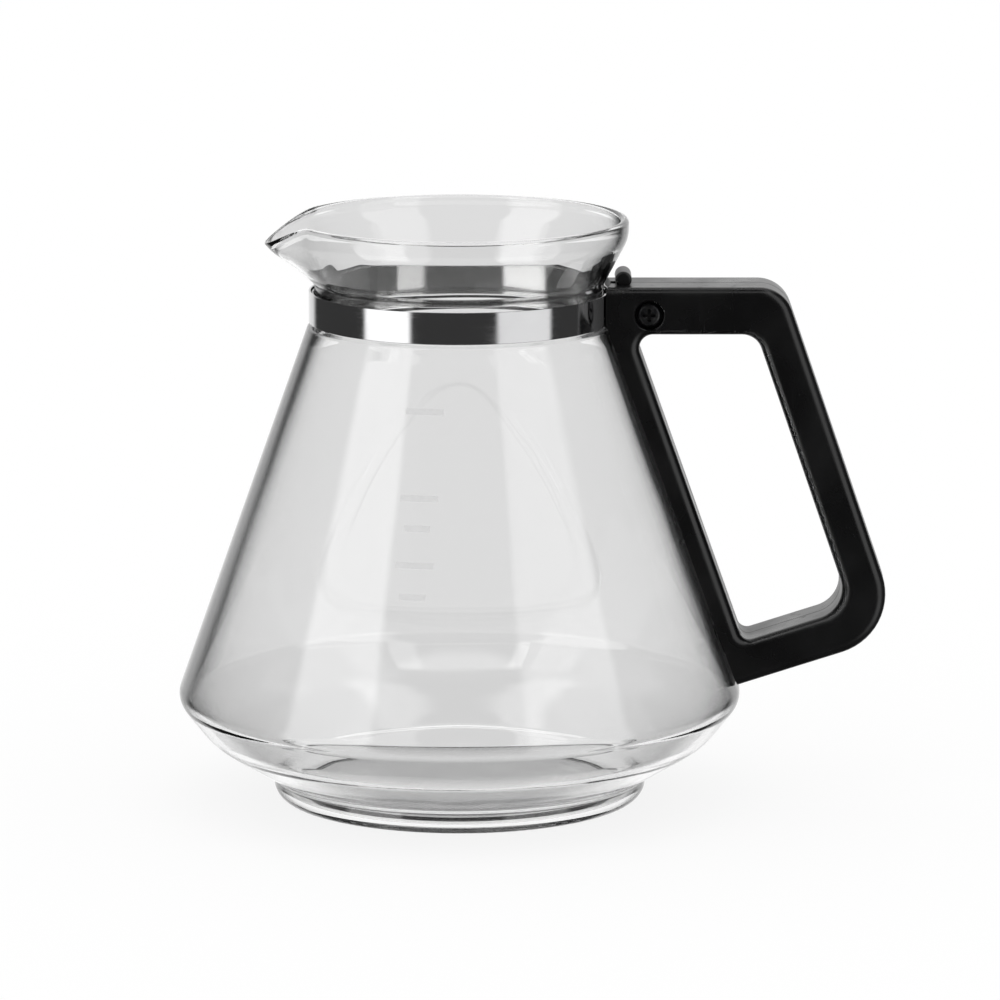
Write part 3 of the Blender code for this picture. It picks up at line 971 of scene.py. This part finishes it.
def glass_material():
    """Clear borosilicate with painted shade, a grey towards its edges seen edge-on, and with faint mould
    waves and a trace of wiping marks.
    """
    look = Nodes("clear_glass", (1.0, 1.0, 1.0), 0.0)
    look.set(look.shader, "Transmission Weight", 1.0)
    look.set(look.shader, "IOR", GLASS_IOR)
    # Painted shade: where an upright face is seen edge-on, the glass's colour is mixed towards a dark grey.
    edge = look.add("ShaderNodeLayerWeight")
    look.set(edge, "Blend", 0.5)
    parts = look.add("ShaderNodeSeparateXYZ")
    look.link(look.add("ShaderNodeNewGeometry").outputs["True Normal"], parts.inputs[0])
    upright = look.spread(look.maths("ABSOLUTE", parts.outputs["Z"], 0.0), 1.0, 0.0, *LEVEL_FACES)
    painted_edge_shade_mask = look.maths("MULTIPLY", look.spread(edge.outputs["Facing"], 0.0, 1.0, EDGE_FROM, EDGE_TO), upright)
    look.drive("Base Color", look.mix_colour(painted_edge_shade_mask, (1.0, 1.0, 1.0), PAINTED_EDGE_SHADE))
    look.bump(look.noise(22, detail=2.0), distance=0.0006, strength=0.25)
    look.bump(look.noise(90, detail=1.0, stretch=(1, 1, 0.25)), distance=0.00005, strength=0.4)
    look.bump(look.noise(60, detail=4.0), distance=0.00001, strength=0.3)
    body = look.add("ShaderNodeVolumeAbsorption")
    look.set(body, "Color", (0.0, 0.0, 0.0, 1.0))
    look.set(body, "Density", GLASS_ABSORPTION)
    look.link(body.outputs["Volume"], look.output.inputs["Volume"])
    return look.material


def steel_material():
    """Polished stainless strip: fine rolling lines round the band, and soft finger marks."""
    look = Nodes("polished_steel", (0.74, 0.74, 0.75), 0.12, metallic=1.0)
    lines = look.noise(260, detail=2.0, stretch=(0.15, 0.15, 12))
    marks = look.noise(70, detail=3.0)
    fingered = look.spread(marks, 0.0, 0.10, start=0.5, end=0.8)
    look.drive("Roughness", look.maths("ADD", look.spread(lines, 0.05, 0.12), fingered))
    look.drive("Base Color", look.mix_colour(marks, (0.56, 0.56, 0.565), (0.48, 0.48, 0.485)))
    look.bump(lines, distance=0.00002, strength=0.35)
    look.bump(look.noise(45, detail=1.0), distance=0.0003, strength=0.12)
    return look.material


def plastic_material():
    """Black heat-resistant plastic, semi-gloss, with a faint grain, rubs and fine scratches."""
    look = Nodes("handle_plastic", (0.002, 0.002, 0.0022), 0.3)
    rubs = look.noise(55, detail=4.0)
    scratches = look.noise(420, detail=2.0, stretch=(1.0, 1.0, 0.08))
    scratched = look.spread(scratches, 0.0, 0.12, start=0.6, end=0.8)
    look.drive("Roughness", look.maths("ADD", look.spread(rubs, 0.22, 0.38), scratched))
    shade = look.mix_colour(look.spread(rubs, 0.0, 1.0), (0.0015, 0.0015, 0.0016), (0.003, 0.003, 0.0033))
    look.drive("Base Color", shade)
    look.bump(look.noise(1900, detail=2.0), distance=0.00002, strength=0.35)
    look.bump(look.noise(28, detail=1.0), distance=0.0004, strength=0.15)
    return look.material


def silicone_material():
    """Clear silicone with slight waves and a fine skin."""
    look = Nodes("clear_silicone", (0.95, 0.95, 0.94), 0.05)
    look.set(look.shader, "Transmission Weight", 1.0)
    look.set(look.shader, "IOR", SILICONE_IOR)
    look.bump(look.noise(120, detail=3.0), distance=0.00002, strength=0.3)
    look.bump(look.noise(600, detail=2.0), distance=0.00001, strength=0.3)
    return look.material


def rubber_material():
    """Matte black rubber with a grained skin."""
    look = Nodes("pad_rubber", (0.018, 0.018, 0.018), 0.6)
    look.drive("Roughness", look.spread(look.noise(300, detail=3.0), 0.5, 0.75))
    look.bump(look.noise(1500, detail=3.0), distance=0.00004, strength=0.5)
    return look.material


def blackened_material():
    """Blackened steel, worn greyer in spots."""
    look = Nodes("blackened_steel", (0.025, 0.025, 0.027), 0.35, metallic=0.9)
    worn = look.spread(look.noise(500, detail=4.0), 0.0, 1.0, start=0.45, end=0.75)
    look.drive("Base Color", look.mix_colour(worn, (0.020, 0.020, 0.022), (0.07, 0.07, 0.07)))
    look.drive("Roughness", look.spread(look.noise(700, detail=3.0), 0.28, 0.48))
    look.bump(look.noise(2500, detail=2.0), distance=0.00001, strength=0.4)
    return look.material


def plated_material():
    """Zinc plating with its cloudy spangle."""
    look = Nodes("plated_steel", (0.62, 0.62, 0.64), 0.3, metallic=1.0)
    cloud = look.spread(look.noise(350, detail=3.0), 0.0, 1.0)
    look.drive("Base Color", look.mix_colour(cloud, (0.66, 0.66, 0.68), (0.52, 0.53, 0.56)))
    look.drive("Roughness", look.spread(look.noise(900, detail=3.0), 0.22, 0.42))
    look.bump(look.noise(2600, detail=2.0), distance=0.00001, strength=0.4)
    return look.material


def enamel_material():
    """Grey fired enamel, a little uneven."""
    look = Nodes("level_print", (0.55, 0.55, 0.55), 0.5)
    shade = look.mix_colour(look.noise(800, detail=3.0), (0.58, 0.58, 0.58), (0.68, 0.68, 0.68))
    look.drive("Base Color", shade)
    look.drive("Roughness", look.spread(look.noise(900, detail=2.0), 0.4, 0.6))
    look.bump(look.noise(1800, detail=2.0), distance=0.00001, strength=0.3)
    return look.material


def floor_material():
    """Pale paper, mostly self-lit. Through the glass it is a set grey, and reflections don't meet it."""
    look = Nodes("pale_floor", (0.92, 0.92, 0.92), 0.8)
    look.set(look.shader, "Specular IOR Level", 0.1)
    shade = look.mix_colour(look.noise(3, detail=2.0), (0.915, 0.915, 0.915), (0.93, 0.93, 0.93))
    look.drive("Base Color", shade)
    path = look.add("ShaderNodeLightPath")
    paper = look.add("ShaderNodeEmission")
    look.set(paper, "Strength", PAPER_THROUGH_GLASS)
    lit = look.add("ShaderNodeEmission")
    look.set(lit, "Strength", PAPER_GLOW)
    both = look.add("ShaderNodeMixShader")
    look.set(both, "Fac", GLOW_SHARE)
    look.link(look.shader.outputs["BSDF"], both.inputs[1])
    look.link(lit.outputs["Emission"], both.inputs[2])
    shader = both.outputs["Shader"]
    for depth, other in (
        ("Transmission Depth", paper.outputs["Emission"]),
        ("Glossy Depth", look.add("ShaderNodeBsdfTransparent").outputs["BSDF"]),
    ):
        mix = look.add("ShaderNodeMixShader")
        look.link(look.maths("MINIMUM", path.outputs[depth], 1.0), mix.inputs["Fac"])
        look.link(shader, mix.inputs[1])
        look.link(other, mix.inputs[2])
        shader = mix.outputs["Shader"]
    look.link(shader, look.output.inputs["Surface"])
    return look.material


# ---------------------------------------------------------------- pieces


def show(piece, material, body, slot, *replaced):
    """Gives the piece its material, puts it under its body and hides the CAD nodes that it stands for. Its
    slot is not used.
    """
    piece.data.materials.clear()
    piece.data.materials.append(material)
    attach(piece, body)
    if replaced:
        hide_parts(*replaced)


def make_decanter():
    blackened = blackened_material()
    plated = plated_material()
    glass = vessel()
    glass.visible_shadow = False
    show(glass, glass_material(), "decanter", "glass", "glass_vessel")
    show(liner(), silicone_material(), "decanter", "clear_silicone", "band_liner")
    show(band(), steel_material(), "decanter", "polished_steel", "neck_band")
    show(handle_body(), plastic_material(), "decanter", "handle_plastic", "handle")
    show(edged(bumper_pad()), rubber_material(), "decanter", "pad_rubber", "handle_pad")
    show(spring_washer(), plated, "decanter", "plated_steel", "lock_washer")
    show(nut(), plated, "decanter", "plated_steel", "clamp_nut")
    show(washer(), blackened, "washer", "blackened_steel", "screw_washer")
    show(screw(), blackened, "screw", "blackened_steel", "clamp_screw")
    show(level_marks(), enamel_material(), "decanter", "level_print")


# ---------------------------------------------------------------- studio


def make_camera():
    data = bpy.data.cameras.new("camera")
    data.lens = CAMERA_LENS
    data.sensor_width = CAMERA_SENSOR
    camera = bpy.data.objects.new("camera", data)
    back = Vector((0, -math.cos(CAMERA_RISE), math.sin(CAMERA_RISE)))
    camera.location = CAMERA_TARGET + back * CAMERA_DISTANCE
    camera.rotation_euler = (math.pi / 2 - CAMERA_RISE, 0, 0)
    bpy.context.scene.collection.objects.link(camera)
    bpy.context.scene.camera = camera


def make_floor():
    bm = bmesh.new()
    bmesh.ops.create_circle(bm, cap_ends=True, segments=FLOOR_SEGMENTS, radius=FLOOR_RADIUS)
    floor = finished(bm, "floor")
    floor.data.materials.append(floor_material())
    floor.visible_glossy = False


class Sky:
    """The studio round the object, as light by direction: soft boxes in a dim room, and a pale surround."""

    def __init__(self):
        self.world = bpy.data.worlds.new("studio")
        self.world.use_nodes = True
        self.tree = self.world.node_tree
        self.background = self.tree.nodes["Background"]
        direction = self.tree.nodes.new("ShaderNodeTexCoord").outputs["Generated"]
        parts = self.tree.nodes.new("ShaderNodeSeparateXYZ")
        self.tree.links.new(direction, parts.inputs[0])
        toward_camera = self.maths("MULTIPLY", parts.outputs["Y"], -1.0)
        self.azimuth = self.maths("ARCTAN2", parts.outputs["X"], toward_camera)
        self.elevation = self.maths("ARCSINE", parts.outputs["Z"], 0.0)

    def maths(self, operation, first, second):
        return add_maths(self.tree, operation, first, second)

    def window(self, source, middle, half, soft):
        """1 within half of the middle and 0 past the soft edge, all in degrees."""
        away = self.maths("ABSOLUTE", self.maths("SUBTRACT", source, math.radians(middle)), 0.0)
        node = self.tree.nodes.new("ShaderNodeMapRange")
        node.interpolation_type = "SMOOTHSTEP"
        for socket, value in (
            ("From Min", math.radians(half)),
            ("From Max", math.radians(half + soft)),
            ("To Min", 1.0),
            ("To Max", 0.0),
        ):
            node.inputs[socket].default_value = value
        self.tree.links.new(away, node.inputs["Value"])
        return node.outputs["Result"]

    def panel(self, azimuth, half_width, elevation, half_height, soft, light):
        """A soft box round this azimuth and elevation, in degrees. Azimuth 0 is the camera's side."""
        across = self.window(self.azimuth, azimuth, half_width, soft)
        upright = self.window(self.elevation, elevation, half_height, soft)
        return self.maths("MULTIPLY", self.maths("MULTIPLY", across, upright), light)


def make_sky():
    """Reflections and bent rays meet a dim room with panels of light. Other rays meet an even pale sky."""
    sky = Sky()
    path = sky.tree.nodes.new("ShaderNodeLightPath")
    room = ROOM
    for azimuth, half_width, light in FRONT_PANELS:
        front = sky.panel(azimuth, half_width, elevation=15.0, half_height=50.0, soft=5.0, light=light)
        room = sky.maths("ADD", front, room)
    overhead = sky.maths("MULTIPLY", sky.window(sky.elevation, middle=68.0, half=3.0, soft=4.0), OVERHEAD)
    room = sky.maths("ADD", overhead, room)
    through = sky.maths("MINIMUM", path.outputs["Transmission Depth"], 1.0)
    for azimuth in (180.0, -180.0):
        backdrop = sky.panel(azimuth, 28.0, elevation=5.0, half_height=40.0, soft=12.0, light=BACKDROP)
        backdrop = sky.maths("MULTIPLY", backdrop, sky.maths("SUBTRACT", 1.0, through))
        room = sky.maths("ADD", backdrop, room)
    table = sky.maths("MULTIPLY", sky.window(sky.elevation, middle=-90.0, half=70.0, soft=7.0), TABLE)
    room = sky.maths("ADD", sky.maths("MULTIPLY", table, through), room)
    mirrored = sky.maths("MINIMUM", path.outputs["Glossy Depth"], 1.0)
    above = sky.window(sky.elevation, 90.0, 90.0 - SEE_THROUGH_UP_TO - HORIZON_SOFT, HORIZON_SOFT)
    in_room = sky.maths("MAXIMUM", mirrored, sky.maths("MULTIPLY", through, above))
    scattered = sky.maths("MINIMUM", path.outputs["Diffuse Depth"], 1.0)
    in_room = sky.maths("MULTIPLY", in_room, sky.maths("SUBTRACT", 1.0, scattered))
    plain = sky.maths("MULTIPLY", sky.maths("SUBTRACT", 1.0, in_room), OPEN_SKY)
    total = sky.maths("ADD", plain, sky.maths("MULTIPLY", room, in_room))
    sky.tree.links.new(total, sky.background.inputs["Strength"])
    sky.background.inputs["Color"].default_value = (1.0, 1.0, 1.0, 1.0)
    bpy.context.scene.world = sky.world


def set_light_paths():
    """Plain tones, and enough bounces for light to pass all the glass. Refractive caustics are off."""
    scene = bpy.context.scene
    scene.view_settings.view_transform = "Standard"
    scene.cycles.caustics_refractive = False
    scene.cycles.max_bounces = 24
    scene.cycles.transmission_bounces = 20
    scene.cycles.glossy_bounces = 12


make_camera()
make_floor()
make_sky()
make_decanter()
set_light_paths()
